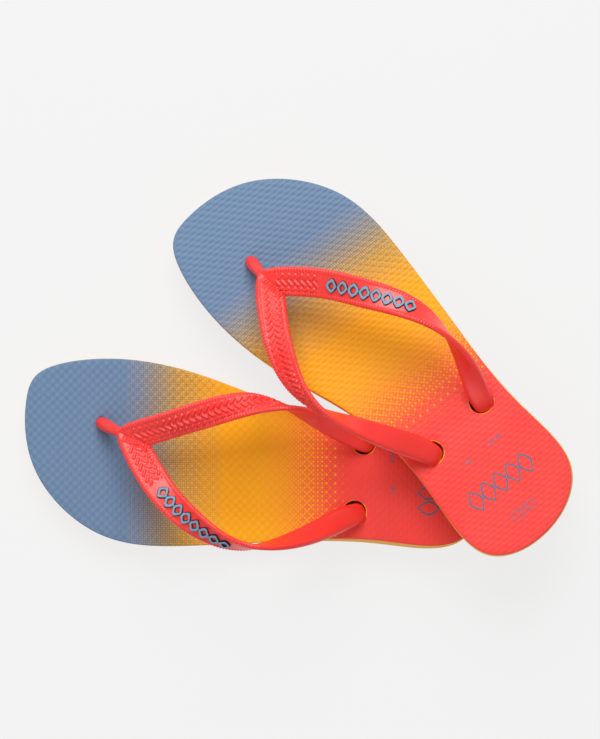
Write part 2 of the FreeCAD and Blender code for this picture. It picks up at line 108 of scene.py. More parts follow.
# A leg's sections: two before the head, one at each station and two in the sole. Each has its width, its
# thickness, and the share of the width at which its faces have dropped to FLAT_LEVEL of their height.
LEG_SECTIONS = (
    (4.8, 3.3, 0.6), (11.52, 4.05, 0.8), (16, 3, 0.87), (16, 3, 0.87), (16, 3, 0.87), (15.98, 3, 0.87),
    (15, 3.3, 0.84), (14, 5, 0.76), (13.58, 6, 0.62), (11.856, 11.52, 0.48), (11.4, 9.45, 0.45),
    (11.4, 9, 0.45),
)
FLAT_LEVEL = 0.95
BEFORE_HEAD = (0.53, 0.34)             # the first two sections, in front widths before the head
HEAD_VALLEY = (-6, -16, -24)           # the first three sections' turn towards the crease, in degrees
NECK_BEHIND = 1.0                      # a leg's middle behind the middle of its hole
NECK_MIDDLE = 0.55                     # the neck's upper section, as a share of the sole's thickness
TAIL_PUSH = np.array((1.2, 0, 2.4))    # the last station, towards the heel and up
HOLE_BACK = 0.91                       # a rear hole's depth towards the heel, as a share of its radius
RIM_ROUND, LIP_ROUND = 0.9, 0.5        # the footbed's rounded rim, and the lips of its holes

# The strap's relief: pitch and height of the ribs along both edges and of the fringe at the crease, and the
# herringbone between the edges.
RIB_PITCH, RIB_HEIGHT = 1.6, 0.45
FRINGE_PITCH, FRINGE_HEIGHT = 1.5, 0.9
FRINGED_LEG = {"left": "lateral", "right": "medial"}
BAR_WIDTH, BAR_GROOVE, BAR_HEIGHT = 2.6, 0.7, 1.25

LOZENGE_POWER, BOX_POWER = 1.3, 5      # 1 gives straight sides, 2 an ellipse, more a rounded box

OUTLINE_POINTS, HOLE_POINTS = 420, 48
LEG_STEPS, POST_STEPS = 560, 60
POST_SIDES, PLUG_SIDES, MOTIF_SIDES, FLAT_SIDES = 32, 64, 24, 40

# The print runs along its own direction, turned a little to the inner side.
PRINT_WAY = (0.9912, 0.1325)
PRINT_SHIFT = {"left": 4, "right": 0}


# ---------------------------------------------------------------- mesh helpers


def add_object(name, data):
    made = bpy.data.objects.new(name, data)
    bpy.context.scene.collection.objects.link(made)
    return made


def add_piece(name, side, points, faces, materials, indices=None, attributes=None, smooth=True):
    """A mesh piece from points in millimetres in the sandal's own frame, placed and riding on it."""
    mesh = bpy.data.meshes.new(name)
    place = np.array(PLACE[side])
    placed = (np.asarray(points, float) @ place[:3, :3].T + place[:3, 3]) * MM
    mesh.from_pydata(placed.tolist(), [], faces)
    for key, values in (attributes or {}).items():
        layer = mesh.attributes.new(key, "FLOAT_VECTOR", "POINT")
        layer.data.foreach_set("vector", np.asarray(values, np.float32).ravel())
    for material in materials:
        mesh.materials.append(material)
    if indices is not None:
        mesh.polygons.foreach_set("material_index", np.asarray(indices, np.int32))
    built = bmesh.new()
    built.from_mesh(mesh)
    bmesh.ops.recalc_face_normals(built, faces=built.faces)
    built.to_mesh(mesh)
    built.free()
    mesh.polygons.foreach_set("use_smooth", [smooth] * len(mesh.polygons))
    piece = add_object(name, mesh)
    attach(piece, side + "_sandal")
    return piece


def unit(vector):
    return vector / np.linalg.norm(vector)


def full_turn(count):
    return np.linspace(0, 2 * math.pi, count, endpoint=False)


def ring_faces(rings, sides, start=0):
    """Quads that join rings of points, one ring after another."""
    faces = []
    for low in range(start, start + (rings - 1) * sides, sides):
        for here in range(sides):
            after = (here + 1) % sides
            faces.append((low + here, low + after, low + sides + after, low + sides + here))
    return faces


def quarter_round(radius, *angles):
    """How far in and how far down a rounded edge lies, at angles in degrees from its side to its top."""
    for turn in np.radians(angles):
        yield radius * (1 - math.cos(turn)), radius * (1 - math.sin(turn))


def oval_point(turn, power):
    """A point of a closed curve between a lozenge and a rounded box, reaching 1 along both axes."""
    c, s = math.cos(turn), math.sin(turn)
    reach = (abs(c) ** power + abs(s) ** power) ** (-1 / power)
    return c * reach, s * reach


# ---------------------------------------------------------------- sole


def top_line(x):
    """Height of the solid's top: straight runs."""
    places = [TOE_X + SOLE_LENGTH * share for share, _ in TOP_LINE]
    return np.interp(x, places, [height for _, height in TOP_LINE])


def top_height(x):
    """Height of the top with its bends blended."""
    steps = np.linspace(-TOP_BLEND, TOP_BLEND, 15)
    return np.mean([top_line(np.asarray(x) + step) for step in steps], axis=0)


def outline(side):
    """Points of the ground outline and of the rim, at equal parameters of closed cubic splines."""
    mirror = MIRROR[side]
    ground = np.array([(TOE_X + SOLE_LENGTH * share, mirror * reach) for share, reach, _, _ in OUTLINE])
    rim = ground + np.array([(off_x, mirror * off_y) for _, _, off_x, off_y in OUTLINE])
    curves = []
    for poles in (ground, rim):
        place = np.arange(OUTLINE_POINTS) * len(poles) / OUTLINE_POINTS
        first, t = np.floor(place).astype(int), place % 1
        weights = ((1 - t) ** 3 / 6, (3 * t ** 3 - 6 * t ** 2 + 4) / 6,
                   (-3 * t ** 3 + 3 * t ** 2 + 3 * t + 1) / 6, t ** 3 / 6)
        curves.append(sum(weight[:, None] * poles[(first + step) % len(poles)]
                          for step, weight in enumerate(weights)))
    return curves


def hole_places(side):
    """The three holes: middle, radius, and depth towards the heel as a share of the radius."""
    mirror = MIRROR[side]
    post = (TOE_X + POST_FROM_TOE, mirror * POST_ACROSS, POST_DIAMETER / 2 + STRAP_GAP, 1)
    rear_x = -TOE_X - ANCHOR_FROM_HEEL
    rears = [(rear_x, mirror * across, ANCHOR_HOLE / 2, HOLE_BACK) for across in ANCHOR_ACROSS.values()]
    return [post] + rears


def in_hole(x, y, hole):
    hole_x, hole_y, radius, back = hole
    return math.hypot((x - hole_x) / (back if x > hole_x else 1), y - hole_y) < radius


def inside(x, y, polygon):
    ends = np.roll(polygon, -1, 0)
    crossing = (polygon[:, 1] > y) != (ends[:, 1] > y)
    with np.errstate(divide="ignore", invalid="ignore"):
        run = (ends[:, 0] - polygon[:, 0]) * (y - polygon[:, 1]) / (ends[:, 1] - polygon[:, 1])
    return bool((crossing & (x < polygon[:, 0] + run)).sum() % 2)


def inner_places(edge, holes, step):
    """Staggered places inside the outline, clear of its edge and of the holes."""
    edge_margin, hole_margin = 2.236, 2.5
    low, high = edge.min(0), edge.max(0)
    for row, x in enumerate(np.arange(low[0] + 1, high[0], step)):
        for y in np.arange(low[1] + 1 + (row % 2) * step / 2, high[1], step):
            if np.hypot(edge[:, 0] - x, edge[:, 1] - y).min() <= edge_margin:
                continue
            if any(math.hypot(x - hole[0], y - hole[1]) < hole[2] + hole_margin for hole in holes):
                continue
            if inside(x, y, edge):
                yield x, y


def print_place(points, side):
    """Where each point lies in the print: along it from the toe, across it, and its height."""
    along, across = points[:, 0] - TOE_X, MIRROR[side] * points[:, 1]
    way_x, way_y = PRINT_WAY
    printed = way_x * along + way_y * across - PRINT_SHIFT[side]
    return np.column_stack((printed, way_x * across - way_y * along, points[:, 2]))


def footbed(side, materials):
    """The upper layer: printed top, rounded rim, and holes with a softened lip."""
    printed, rubber = range(2)
    holes = hole_places(side)
    ground, rim = outline(side)
    tangent = np.roll(ground, -1, 0) - np.roll(ground, 1, 0)
    inward = np.column_stack((-tangent[:, 1], tangent[:, 0]))
    inward /= np.linalg.norm(inward, axis=1)[:, None]
    inward *= np.sign((inward * (ground.mean(0) - ground)).sum(1))[:, None]
    points, faces, indices = [], [], []

    def add_ring(flat, drop):
        """Adds a ring of points a drop below the top, and gives their numbers."""
        start = len(points)
        points.extend(np.column_stack((flat, top_height(flat[:, 0]) - drop)).tolist())
        return list(range(start, len(points)))

    def on_wall(drop):
        """The leaning side wall's outline at a drop below the top."""
        return ground + (rim - ground) * (top_height(ground[:, 0]) - drop)[:, None] / RIM_HEIGHT

    def wall(low, high, index):
        """Quads between two rings."""
        for here in range(len(low)):
            there = (here + 1) % len(low)
            faces.append((low[here], low[there], high[there], high[here]))
            indices.append(index)

    rings = [add_ring(on_wall(drop), drop) for drop in (FOOTBED_LAYER, FOOTBED_LAYER * 0.6, RIM_ROUND)]
    edge = on_wall(0)
    for inset, drop in quarter_round(RIM_ROUND, 30, 60, 90):
        rings.append(add_ring(edge + inward * inset, drop))
    for low, high, index in zip(rings, rings[1:], (rubber, rubber, rubber, printed, printed)):
        wall(low, high, index)
    bottom_loops, top_loops = [rings[0]], [rings[-1]]

    turns = full_turn(HOLE_POINTS)
    circle = np.column_stack((np.cos(turns), np.sin(turns)))
    for x, y, radius, back in holes:
        hole_edge = circle * radius
        hole_edge[:, 0] *= np.where(circle[:, 0] > 0, back, 1)
        hole_edge += (x, y)
        lip = [add_ring(hole_edge, FOOTBED_LAYER)]
        for out, drop in quarter_round(LIP_ROUND, 0, 30, 60, 90):
            lip.append(add_ring(hole_edge + circle * out, drop))
        # The rear holes' walls are the cut foam. The post's hole is lined with the printed top down its whole
        # wall, and the dark ink there is painted shade in the gap around the post.
        for low, high in zip(lip, lip[1:]):
            wall(low, high, rubber if back < 1 else printed)
        bottom_loops.append(lip[0])
        top_loops.append(lip[-1])

    for loops, drop, index, step in ((bottom_loops, FOOTBED_LAYER, rubber, 9), (top_loops, 0, printed, 3.5)):
        numbers = [number for loop in loops for number in loop]
        flat = [Vector(points[number][:2]) for number in numbers]
        edges, start = [], 0
        for loop in loops:
            edges += [(start + here, start + (here + 1) % len(loop)) for here in range(len(loop))]
            start += len(loop)
        for x, y in inner_places(edge, holes, step):
            flat.append(Vector((x, y)))
            numbers.append(len(points))
            points.append([x, y, float(top_height(x)) - drop])
        made, _, tris, sources, _, _ = delaunay_2d_cdt(flat, edges, [], 1, 1e-5)
        for tri in tris:
            middle = sum((made[corner] for corner in tri), Vector((0, 0))) / 3
            if not any(in_hole(middle.x, middle.y, hole) for hole in holes):
                faces.append(tuple(numbers[sources[corner][0]] for corner in tri))
                indices.append(index)
    points = np.array(points)
    piece = add_piece(side + "_footbed_top", side, points, faces, materials,
                      indices, {"print_place": print_place(points, side)})
    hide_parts(side + "_footbed")


# ---------------------------------------------------------------- strap


def head_point(side):
    """The middle of the strap's head."""
    x = TOE_X + POST_FROM_TOE + HEAD_SETBACK
    return np.array((x, MIRROR[side] * (POST_ACROSS + HEAD_SHIFT[side]), float(top_line(x)) + HEAD_RISE))


def away_sign(side, leg):
    """The sign of Y that leads away from the other leg."""
    return MIRROR[side] if leg == "medial" else -MIRROR[side]


def leg_points(side, leg):
    """A leg's stations, from the head to the mouth of its hole."""
    head = head_point(side)
    mouth = np.array((-TOE_X - ANCHOR_FROM_HEEL + NECK_BEHIND, MIRROR[side] * ANCHOR_ACROSS[leg], 0))
    bows, _ = LEG_LAY[f"{side}_{leg}"]
    points = []
    for share, rise, bow in zip(LEG_ALONG, LEG_RISE, bows):
        x, y = (head + (mouth - head) * share)[:2]
        points.append(np.array((x, y + away_sign(side, leg) * bow, float(top_line(x)) + LEG_PEAK * rise)))
    points[0][2] = head[2]
    points[-1] = points[-1] + TAIL_PUSH
    return points


def head_frame(side):
    """The head's middle, the level way along its crease, and the normal of its sloping face."""
    ways = []
    for leg in ANCHOR_ACROSS:
        points = leg_points(side, leg)
        way = points[1] - points[0]
        way[2] = 0
        ways.append(unit(way))
    crease = unit(ways[0] + ways[1])
    pitch = math.radians(HEAD_PITCH)
    return head_point(side), crease, UP * math.cos(pitch) - crease * math.sin(pitch)


def spline_basis(controls, count):
    """Weights of a clamped uniform cubic B-spline, one row for each of the evenly spaced places."""
    knots = np.concatenate(([0] * 3, np.arange(controls - 2), [controls - 3] * 3)).astype(float)
    place = np.linspace(0, controls - 3 - 1e-9, count)
    basis = np.array([(place >= knots[i]) & (place < knots[i + 1]) for i in range(len(knots) - 1)], float).T
    for degree in (1, 2, 3):
        columns = []
        for i in range(basis.shape[1] - 1):
            rise, fall = knots[i + degree] - knots[i], knots[i + degree + 1] - knots[i + 1]
            column = np.zeros(count)
            if rise:
                column += (place - knots[i]) / rise * basis[:, i]
            if fall:
                column += (knots[i + degree + 1] - place) / fall * basis[:, i + 1]
            columns.append(column)
        basis = np.array(columns).T
    return basis


def leg_sweep(side, leg):
    """Along a leg: its middle line, half-width and half-thickness vectors, flat share and length."""
    normal = head_frame(side)[2]
    stations = leg_points(side, leg)
    head_way = unit(stations[0] - stations[1])
    front = [stations[0] + head_way * FRONT_WIDTH * distance for distance in BEFORE_HEAD]
    neck_x = stations[-1][0]
    neck_heights = (float(top_line(neck_x)) * NECK_MIDDLE, PLUG_MIDDLE)
    neck = [np.array((neck_x, MIRROR[side] * ANCHOR_ACROSS[leg], height)) for height in neck_heights]
    points = front + stations + neck
    rolls = (*LEG_LAY[f"{side}_{leg}"][1], 180, 180, 180)
    mouth = len(front) + len(stations) - 1
    across, through = [], []
    for number, (point, (width, thickness, _)) in enumerate(zip(points, LEG_SECTIONS)):
        tangent = unit(points[min(number + 1, len(points) - 1)] - points[max(number - 1, 0)])
        if number < mouth:
            level_way = unit(np.array((tangent[0], tangent[1], 0)))
        side_way = np.cross(level_way, UP)
        rise_way = unit(np.cross(side_way, tangent))
        away = side_way * away_sign(side, leg)
        if number < len(HEAD_VALLEY):
            roll = math.atan2(-away @ normal, rise_way @ normal) + math.radians(HEAD_VALLEY[number])
        else:
            roll = math.radians(rolls[number - len(HEAD_VALLEY)])
        across.append((away * math.cos(roll) + rise_way * math.sin(roll)) * width / 2)
        through.append((rise_way * math.cos(roll) - away * math.sin(roll)) * thickness / 2)
    flats = [flat for _, _, flat in LEG_SECTIONS]
    basis = spline_basis(len(points), LEG_STEPS)
    middle, half_width, half_thick, flat = (basis @ np.array(part)
                                            for part in (points, across, through, flats))
    lengths = np.concatenate(([0], np.cumsum(np.linalg.norm(np.diff(middle, axis=0), axis=1))))
    return middle, half_width, half_thick, flat, lengths


def ridge(phase):
    """A rounded ridge that fills half of each period."""
    distance = np.abs((phase + 0.5) % 1 - 0.5) * 2
    return np.clip((0.5 - distance) / 0.35 + 0.5, 0, 1)


def fade(value, start, end):
    """Smoothly from 0 at start to 1 at end."""
    t = np.clip((value - start) / (end - start), 0, 1)
    return t * t * (3 - 2 * t)


def within(value, start, full, less, end):
    """Smoothly from 0 at start to 1 at full, and from there at less to 0 at end."""
    return fade(value, start, full) * (1 - fade(value, less, end))


def herringbone(along, across):
    """Height, 0 to 1, of interlocking bars, twice as long as wide, laid at forty-five degrees to the leg."""
    first, second = (along + across) / math.sqrt(2), (along - across) / math.sqrt(2)
    column, row = np.floor(first / BAR_WIDTH), np.floor(second / BAR_WIDTH)
    turn = (column - row) % 4
    lies_first = turn < 2
    start = np.where(lies_first, (column - turn) * BAR_WIDTH, (row - (3 - turn)) * BAR_WIDTH)
    long_place = np.where(lies_first, first, second) - start
    short_place = np.where(lies_first, second - row * BAR_WIDTH, first - column * BAR_WIDTH)
    edge = np.minimum(np.minimum(long_place, 2 * BAR_WIDTH - long_place),
                      np.minimum(short_place, BAR_WIDTH - short_place))
    return fade(edge, BAR_GROOVE - 0.35, BAR_GROOVE + 0.15)


def fringe(points, head, crease, other_side):
    """Height of the short ribs that cross one leg's edge at the crease."""
    from_head = points - head
    behind, away = from_head @ crease, -from_head @ other_side
    zone = (1 - fade(away, 3.4, 3.8)) * within(behind, -4, -2, 11, 13)
    return FRINGE_HEIGHT * ridge(behind / FRINGE_PITCH) * zone


def relief(leg, along, across, half):
    """Height of the moulded pattern on a leg's outer face: edge ribs, and a herringbone between them."""
    reach = np.abs(across)
    ribs = ridge(along / RIB_PITCH) * fade(reach, half - 2.4, half - 2.0) * within(along, 6, 9, 98, 112)
    band = 1 - fade(reach, half - 3.1, half - 2.6)
    if leg == "medial":
        zone = (0.45 + 0.55 * fade(along, 24, 40)) * within(along, 9, 14, 88, 104)
    else:
        zone = 0.6 * within(along, 12, 15, 36, 39)
    return RIB_HEIGHT * ribs + BAR_HEIGHT * herringbone(along, across) * band * zone


def leg_mesh(side, leg):
    """Points and faces of one leg, with its pattern, cut off at the crease."""
    head, crease, _ = head_frame(side)
    other_side = np.cross(crease, UP) * away_sign(side, leg)
    middle, half_width, half_thick, flat, lengths = leg_sweep(side, leg)
    power = np.log(1 - FLAT_LEVEL ** 2) / np.log(flat)
    half = np.linalg.norm(half_width, axis=1)
    unit_width = half_width / half[:, None]
    unit_thick = half_thick / np.linalg.norm(half_thick, axis=1)[:, None]
    corner = np.array((0.93, 0.955, 0.975, 0.99, 0.998))
    outer = np.concatenate(([-1], -corner[::-1], np.linspace(-0.9, 0.9, 43), corner, [1]))
    inner = np.concatenate((corner[::-1], np.linspace(0.9, -0.9, 15), -corner))
    rows = []
    for share in outer:
        level = np.sqrt(1 - np.abs(share) ** power)
        row = middle + half_width * share + half_thick * level[:, None]
        height = relief(leg, lengths, share * half, half)
        if leg == FRINGED_LEG[side]:
            height = height + fringe(row, head, crease, other_side)
        lift = unit_thick * level[:, None] + unit_width * (np.sign(share) * (1 - level))[:, None]
        rows.append(row + lift * height[:, None])
    for share in inner:
        level = np.sqrt(1 - np.abs(share) ** power)
        rows.append(middle + half_width * share - half_thick * level[:, None])
    around, count = len(rows), LEG_STEPS
    faces = []
    for turn in range(around):
        low, high = turn * count, (turn + 1) % around * count
        faces += [(low + step, high + step, high + step + 1, low + step + 1) for step in range(count - 1)]
    faces.append(tuple(turn * count for turn in range(around)))
    faces.append(tuple(turn * count + count - 1 for turn in reversed(range(around))))
    return keep_side(np.vstack(rows), faces, head, other_side)


def keep_side(points, faces, place, way, reach=40):
    """Cuts a mesh within reach of a place by a plane there and keeps what lies behind it."""
    mesh = bmesh.new()
    verts = [mesh.verts.new(point) for point in points]
    for face in faces:
        mesh.faces.new([verts[number] for number in face])
    near = [face for face in mesh.faces
            if all((vert.co - Vector(place)).length < reach for vert in face.verts)]
    geometry = {item for face in near for item in (face, *face.edges, *face.verts)}
    bmesh.ops.bisect_plane(mesh, geom=list(geometry), plane_co=Vector(place), plane_no=Vector(way),
                           clear_outer=True)
    mesh.verts.index_update()
    kept = np.array([vert.co[:] for vert in mesh.verts])
    kept_faces = [tuple(vert.index for vert in face.verts) for face in mesh.faces]
    mesh.free()
    return kept, kept_faces


def toe_post(side):
    """A round bar from the toe plug up through the sole, bent into the underside of the head."""
    head, crease, normal = head_frame(side)
    foot = np.array((TOE_X + POST_FROM_TOE, MIRROR[side] * POST_ACROSS, PLUG_MIDDLE))
    low = np.array((foot[0], foot[1], float(top_line(foot[0])) + POST_DIAMETER * 0.3))
    end = head - crease * (FRONT_WIDTH * 0.36) - normal * 1.2
    high = low + (end - low) * 0.3 + UP * (POST_DIAMETER * 0.3)
    past = end + crease * 4 - normal * 1.5
    controls = np.array([foot, foot + UP * 5, low - UP * 2, low + UP * 1.5,
                         high, (high + end) / 2, end, past])
    basis = spline_basis(len(controls), POST_STEPS)
    path, radii = basis @ controls, basis @ np.array((2.85, 2.85, 2.85, 3.6, 3.6, 3.0, 2.7, 1.6))
    points = []
    guide = np.array((0.0, 1.0, 0.0))
    for number, (place, radius) in enumerate(zip(path, radii)):
        tangent = unit(path[min(number + 1, len(path) - 1)] - path[max(number - 1, 0)])
        x_way = unit(np.cross(guide, tangent))
        y_way = np.cross(tangent, x_way)
        for turn in full_turn(POST_SIDES):
            points.append(place + x_way * math.cos(turn) * radius + y_way * math.sin(turn) * radius)
    faces = ring_faces(len(path), POST_SIDES)
    faces.append(tuple(range(POST_SIDES)))
    faces.append(tuple(reversed(range(len(points) - POST_SIDES, len(points)))))
    return np.array(points), faces


def plug(x, y, diameter):
    """A plug under the sole: a flat disc with a rounded edge and a shallow dish."""
    radius, low, high = diameter / 2, PLUG_RECESS, PLUG_RECESS + PLUG_THICKNESS
    dish, pinhole, chamfer = 0.5, 0.01, 0.05
    profile = [(pinhole, low + dish), (radius * 0.55, low + dish), (radius * 0.66, low + 0.12),
               (radius * 0.72, low)]
    profile += [(radius - inset, low + rise) for rise, inset in quarter_round(0.8, 0, 25, 50, 75, 90)]
    profile += [(radius, high - chamfer), (radius - chamfer, high), (pinhole, high)]
    points = [(x + reach * math.cos(turn), y + reach * math.sin(turn), height)
              for reach, height in profile for turn in full_turn(PLUG_SIDES)]
    return np.array(points), ring_faces(len(profile), PLUG_SIDES)


def strap(side, material):
    """The one-piece strap: two legs that meet at the crease, the toe post and three plugs."""
    parts = [leg_mesh(side, leg) for leg in ANCHOR_ACROSS] + [toe_post(side)]
    for (x, y, _, _), diameter in zip(hole_places(side), (TOE_PLUG, REAR_PLUG, REAR_PLUG)):
        parts.append(plug(x, y, diameter))
    points, faces = [], []
    for part_points, part_faces in parts:
        start = sum(len(done) for done in points)
        points.append(part_points)
        faces += [tuple(start + number for number in face) for face in part_faces]
    piece = add_piece(side + "_strap_moulding", side, np.vstack(points), faces, [material])
    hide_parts(side + "_strap")


def motif(side, materials):
    """A row of raised open lozenges along the outer leg, in place of lettering, with painted shade on their
    sides.
    """
    middle, half_width, half_thick, _, lengths = leg_sweep(side, "lateral")
    count, first, pitch, long_half, wide_half = 8, 45, 6.3, 3.1, 3.8
    # Share of the lozenge's reach, height over the leg, and material of the faces up to the next line: pale
    # blue-grey rubber on the tops and bevels, a dark painted shade on the sides and the foot.
    pale, shaded_side = range(2)
    profile = ((1.1, -0.1, shaded_side), (1.1, 0.3, shaded_side), (1.0, 0.35, shaded_side), (1.0, 1.1, pale),
               (0.93, 1.25, pale), (0.64, 1.25, pale), (0.56, 1.1, shaded_side), (0.56, 0.35, shaded_side),
               (0.46, 0.3, shaded_side), (0.46, -0.1, shaded_side))
    points, faces, indices = [], [], []
    for number in range(count):
        faces += ring_faces(len(profile), MOTIF_SIDES, len(points))
        indices += [index for _, _, index in profile[:-1] for _ in range(MOTIF_SIDES)]
        for share, height, _ in profile:
            for turn in full_turn(MOTIF_SIDES):
                along, across = np.array(oval_point(turn, LOZENGE_POWER)) * share
                index = int(np.searchsorted(lengths, first + number * pitch + long_half * along))
                wide = wide_half * across / np.linalg.norm(half_width[index])
                level = math.sqrt(1 - wide ** 12)
                surface = middle[index] + half_width[index] * wide + half_thick[index] * level
                points.append(surface + unit(half_thick[index]) * height)
    add_piece(side + "_strap_motif", side, points, faces, materials, indices, smooth=False)


# ---------------------------------------------------------------- heel print


def number_shapes(text, size):
    """Flat points and faces of plain numbers, centred on their middle."""
    curve = bpy.data.curves.new("numbers", "FONT")
    curve.body, curve.size = text, size
    curve.align_x, curve.align_y = "CENTER", "CENTER"
    curve.resolution_u = 3
    letters = bpy.data.objects.new("numbers", curve)
    mesh = letters.to_mesh()
    points = [vert.co[:2] for vert in mesh.vertices]
    faces = [tuple(face.vertices) for face in mesh.polygons]
    bpy.data.objects.remove(letters)
    return points, faces


def ring_shape(long_half, wide_half, power, stroke):
    """A flat closed line around a lozenge or a rounded box."""
    points = []
    for inset in (0, stroke):
        for turn in full_turn(FLAT_SIDES):
            along, across = oval_point(turn, power)
            points.append(((long_half - inset) * along, (wide_half - inset) * across))
    return points, ring_faces(2, FLAT_SIDES)


def heel_print(side, material):
    """Plain size numbers, a row of lozenges and a boxed number, printed on the heel."""
    middle_across, film = -29.5, 0.06
    # Each shape, how far its middle lies along the print, and how far from the print's middle line.
    shapes = [(number_shapes("7/8", 3.6), 203, -7), (number_shapes("39/40", 3.6), 202.5, 12),
              (number_shapes("37-38", 3.2), 241.7, 0), (ring_shape(7.6, 2.4, BOX_POWER, 0.4), 241.7, 0)]
    shapes += [(ring_shape(4.1, 6.2, LOZENGE_POWER, 1.0), 222.3, number * 8.4) for number in range(-2, 3)]
    mirror, (way_x, way_y) = MIRROR[side], PRINT_WAY
    points, faces = [], []
    for (flat, flat_faces), middle, shift in shapes:
        start = len(points)
        for along, towards_toe in flat:
            u, v = middle - towards_toe, middle_across + mirror * (shift + along)
            x, y = TOE_X + way_x * u - way_y * v, way_y * u + way_x * v
            points.append((x, mirror * y, float(top_height(x)) + film))
        faces += [tuple(start + number for number in face) for face in flat_faces]
    add_piece(side + "_heel_print", side, points, faces, [material], smooth=False)


# ---------------------------------------------------------------- materials


class Nodes:
    """Short names for building a material's nodes."""

    def __init__(self, name):
        self.material = bpy.data.materials.new(name)
        self.material.use_nodes = True
        self.tree = self.material.node_tree
        self.shader = self.tree.nodes["Principled BSDF"]

    def add(self, kind, **settings):
        node = self.tree.nodes.new(kind)
        for key, value in settings.items():
            setattr(node, key, value)
        return node

    def feed(self, socket, value):
        """Links another node's output into a socket, or sets the socket to a plain value."""
        if hasattr(value, "is_linked"):
            self.tree.links.new(value, socket)
        else:
            socket.default_value = value

    def math(self, operation, first, second=0.0, third=0.0):
        node = self.add("ShaderNodeMath", operation=operation)
        for socket, value in zip(node.inputs, (first, second, third)):
            self.feed(socket, value)
        return node.outputs[0]

    def wave(self, place, pitch):
        """1 at every pitch along a place, and -1 half-way between."""
        return self.math("COSINE", self.math("MULTIPLY", place, 2 * math.pi / pitch))

    def mix(self, factor, first, second):
        node = self.add("ShaderNodeMix", data_type="RGBA")
        self.feed(node.inputs[0], factor)
        self.feed(node.inputs[6], first)
        self.feed(node.inputs[7], second)
        return node.outputs[2]

    def ramp(self, factor, stops):
        """A value that follows stops of place and value."""
        node = self.add("ShaderNodeValToRGB")
        self.feed(node.inputs[0], factor)
        elements = node.color_ramp.elements
        elements.remove(elements[1])
        for number, (place, value) in enumerate(stops):
            element = elements.new(place) if number else elements[0]
            element.position = place
            element.color = (value,) * 3 + (1,)
        return node.outputs[0]

    def noise(self, vector, scale, detail):
        node = self.add("ShaderNodeTexNoise")
        self.feed(node.inputs["Vector"], vector)
        node.inputs["Scale"].default_value = scale
        node.inputs["Detail"].default_value = detail
        return node.outputs["Fac"]

    def bump(self, height, distance, strength, normal=None):
        node = self.add("ShaderNodeBump")
        node.inputs["Strength"].default_value = strength
        node.inputs["Distance"].default_value = distance
        self.feed(node.inputs["Height"], height)
        if normal is not None:
            self.feed(node.inputs["Normal"], normal)
        return node.outputs["Normal"]

    def finish(self, colour, roughness, normal, specular):
        self.feed(self.shader.inputs["Base Color"], colour)
        self.feed(self.shader.inputs["Roughness"], roughness)
        self.feed(self.shader.inputs["Normal"], normal)
        self.shader.inputs["Specular IOR Level"].default_value = specular
        return self.material


def linear(*rgb):
    """A screen colour, 0 to 255, as a linear one."""
    shares = [value / 255 for value in rgb]
    return tuple(s / 12.92 if s <= 0.04045 else ((s + 0.055) / 1.055) ** 2.4 for s in shares) + (1,)


# Each rubber and ink has its colour and the one that its speckle or cloud mixes in. The blue ink turns to
# LATE_BLUE where it thins out over the yellow.
YELLOW, DEEP_YELLOW = linear(252, 176, 16), linear(240, 150, 26)
FOAM_YELLOW, FOAM_DEEP, FOAM_PALE = linear(252, 186, 44), linear(240, 158, 24), linear(255, 200, 80)
BLUE, LATE_BLUE = linear(107, 135, 168), linear(107, 135, 112)
CORAL, INK_HAZE = linear(255, 62, 52), linear(150, 160, 175)
STRAP_RED, STRAP_DEEP, STRAP_PALE = linear(252, 50, 42), linear(242, 44, 38), linear(255, 74, 66)
HEEL_INK, HEEL_INK_DEEP = linear(84, 116, 142), linear(70, 100, 126)
MOTIF_PALE, MOTIF_PALE_DEEP = linear(134, 164, 188), linear(104, 132, 158)
# The lozenges are one blue-grey rubber. These dark colours are painted shade for their sides, not a second
# rubber.
MOTIF_PAINTED_SHADE, MOTIF_PAINTED_SHADE_DEEP = linear(44, 48, 66), linear(30, 32, 48)

# The print along its way from the toe, in millimetres: how much of the rubber the inks cover, and how many of
# the print's cells are left bare as dots.
BLUE_COVER = ((0, 1), (52, 1), (60, 0.945), (65, 0.87), (70, 0.78), (75, 0.63), (80, 0.47), (85, 0.35),
              (90, 0.26), (95, 0.16), (100, 0.09), (106, 0))
CORAL_COVER = ((127, 0), (133, 0.04), (139, 0.12), (146, 0.27), (152, 0.43), (157, 0.58), (161, 0.72),
               (166, 0.86), (171, 0.95), (178, 1))
BARE_DOTS = ((0, 0), (75, 0), (79, 0.07), (84, 0.16), (90, 0.3), (97, 0.5), (142, 0.5), (151, 0.4),
             (157, 0.24), (164, 0.1), (170, 0.04), (177, 0))
LATE_FROM, LATE_TO = 56.0, 84.0        # where the blue turns
INK_SPLIT = 119.0                      # blue ink before it, coral ink after it
PRINT_SPAN = 280
PRINT_CELL = 1.19
DOT_REACH = 0.42                       # a bare dot's reach from its cell's middle, squared, in cells
EMBOSS_PITCH = 4.9
# How much of the raised grain is left, at shares of the print's span: it is worn towards the heel.
EMBOSS_WEAR = ((0, 1), (0.3, 1), (0.6, 0.5), (0.75, 0.36), (1, 0.3))


def ink_between_dots():
    """How densely the ink lies between the bare dots, so that it covers its share in all."""
    stops = []
    for place, cover in BLUE_COVER + CORAL_COVER:
        bare = np.interp(place, *zip(*BARE_DOTS))
        stops.append((place / PRINT_SPAN, min(cover / (1 - bare), 1)))
    return stops


